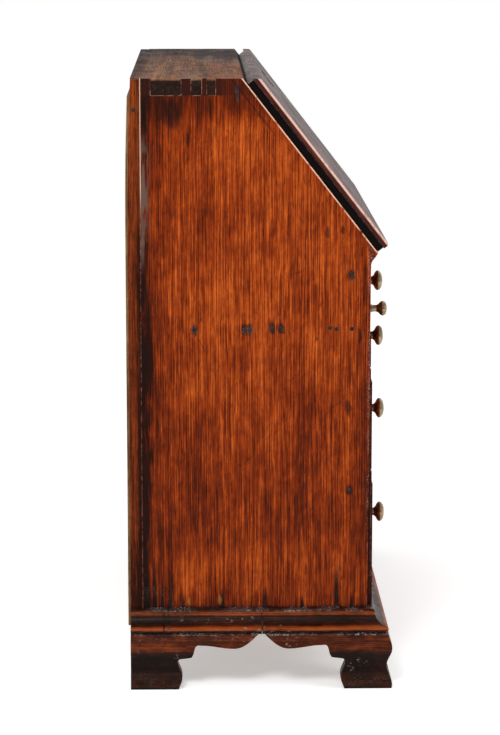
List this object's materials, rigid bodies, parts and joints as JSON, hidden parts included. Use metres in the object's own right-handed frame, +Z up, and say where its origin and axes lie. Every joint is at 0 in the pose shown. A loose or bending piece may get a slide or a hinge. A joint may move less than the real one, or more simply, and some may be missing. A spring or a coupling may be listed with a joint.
{
  "type": "secretary desk",
  "caption": "Slant-front oak secretary desk: fall on lopers, long drawers, gallery of pigeonholes, ogee bracket feet.",
  "frame": {"origin": "on the floor, under the middle of the desk's outer box", "axes": "+X towards the right-hand side as seen from the front, +Y to the back, +Z up; the front faces -Y"},
  "size_m": [0.992, 0.448, 1.03],
  "materials": {
    "oak_case": "old waxed oak, satin",
    "oak_top": "worn, bleached oak, dull",
    "oak_fall": "dark polished oak",
    "oak_dark": "dark waxed oak, satin",
    "oak_gallery": "oak, satin",
    "deal": "raw softwood, matt",
    "brass": "aged brass",
    "iron": "blackened wrought iron"
  },
  "bodies": {
    "case": {"side_left": "oak_case", "side_right": "oak_case", "back_strip_left": "oak_dark", "back_strip_right": "oak_dark", "top_board": "oak_top", "backboards": "deal", "writing_board": "oak_case", "fall_rail": "oak_case", "drawer_rails": "oak_case", "dustboards": "deal", "drawer_runners": "deal", "bottom_board": "deal", "loper_guides": "oak_case", "base_moulding_front": "oak_dark", "base_moulding_left": "oak_dark", "base_moulding_right": "oak_dark", "foot_front_left": "oak_dark", "foot_front_right": "oak_dark", "foot_rear_left": "oak_dark", "foot_rear_right": "oak_dark", "foot_blocks": "deal", "nails": "iron", "gallery_shelves": "oak_gallery", "gallery_partitions": "oak_gallery", "gallery_arches": "oak_gallery", "fall_hinge_posts": "brass", "door_hinge_posts": "brass"},
    "fall": {"fall_panel": "oak_fall", "fall_cleat_left": "oak_fall", "fall_cleat_right": "oak_fall", "fall_hinge_leaves": "brass", "fall_lock": "brass", "fall_escutcheon": "brass"},
    "loper_left": {"loper_left": "oak_case", "loper_knob_left": "brass"},
    "loper_right": {"loper_right": "oak_case", "loper_knob_right": "brass"},
    "prospect_door": {"prospect_door": "oak_gallery", "prospect_knob": "brass", "door_hinge_leaves": "brass"},
    "drawer_1": {"drawer_1_front": "oak_case", "drawer_1_box": "deal", "drawer_1_brasses": "brass"},
    "small_drawer_1": {"small_drawer_1": "oak_gallery", "small_knob_1": "brass"},
    "drawer_2": {"drawer_2_front": "oak_case", "drawer_2_box": "deal", "drawer_2_brasses": "brass"},
    "small_drawer_2": {"small_drawer_2": "oak_gallery", "small_knob_2": "brass"},
    "drawer_3": {"drawer_3_front": "oak_case", "drawer_3_box": "deal", "drawer_3_brasses": "brass"},
    "small_drawer_3": {"small_drawer_3": "oak_gallery", "small_knob_3": "brass"},
    "drawer_4": {"drawer_4_front": "oak_case", "drawer_4_box": "deal", "drawer_4_brasses": "brass"},
    "small_drawer_4": {"small_drawer_4": "oak_gallery", "small_knob_4": "brass"}
  },
  "joints": [
    {"name": "fall_hinge", "type": "hinge", "parent": "case", "child": "fall", "pos_m": [0, -0.197, 0.74], "axis": [1, 0, 0], "range_deg": [0, 127.9]},
    {"name": "loper_left_slide", "type": "slide", "parent": "case", "child": "loper_left", "axis": [0, -1, 0], "range_m": [0, 0.27]},
    {"name": "loper_right_slide", "type": "slide", "parent": "case", "child": "loper_right", "axis": [0, -1, 0], "range_m": [0, 0.27]},
    {"name": "drawer_1_slide", "type": "slide", "parent": "case", "child": "drawer_1", "axis": [0, -1, 0], "range_m": [0, 0.27]},
    {"name": "drawer_2_slide", "type": "slide", "parent": "case", "child": "drawer_2", "axis": [0, -1, 0], "range_m": [0, 0.27]},
    {"name": "drawer_3_slide", "type": "slide", "parent": "case", "child": "drawer_3", "axis": [0, -1, 0], "range_m": [0, 0.27]},
    {"name": "drawer_4_slide", "type": "slide", "parent": "case", "child": "drawer_4", "axis": [0, -1, 0], "range_m": [0, 0.27]},
    {"name": "prospect_hinge", "type": "hinge", "parent": "case", "child": "prospect_door", "pos_m": [-0.052, 0.031, 0.818], "axis": [0, 0, -1], "range_deg": [0, 90]},
    {"name": "small_drawer_1_slide", "type": "slide", "parent": "case", "child": "small_drawer_1", "axis": [0, -1, 0], "range_m": [0, 0.11]},
    {"name": "small_drawer_2_slide", "type": "slide", "parent": "case", "child": "small_drawer_2", "axis": [0, -1, 0], "range_m": [0, 0.11]},
    {"name": "small_drawer_3_slide", "type": "slide", "parent": "case", "child": "small_drawer_3", "axis": [0, -1, 0], "range_m": [0, 0.11]},
    {"name": "small_drawer_4_slide", "type": "slide", "parent": "case", "child": "small_drawer_4", "axis": [0, -1, 0], "range_m": [0, 0.11]}
  ]
}
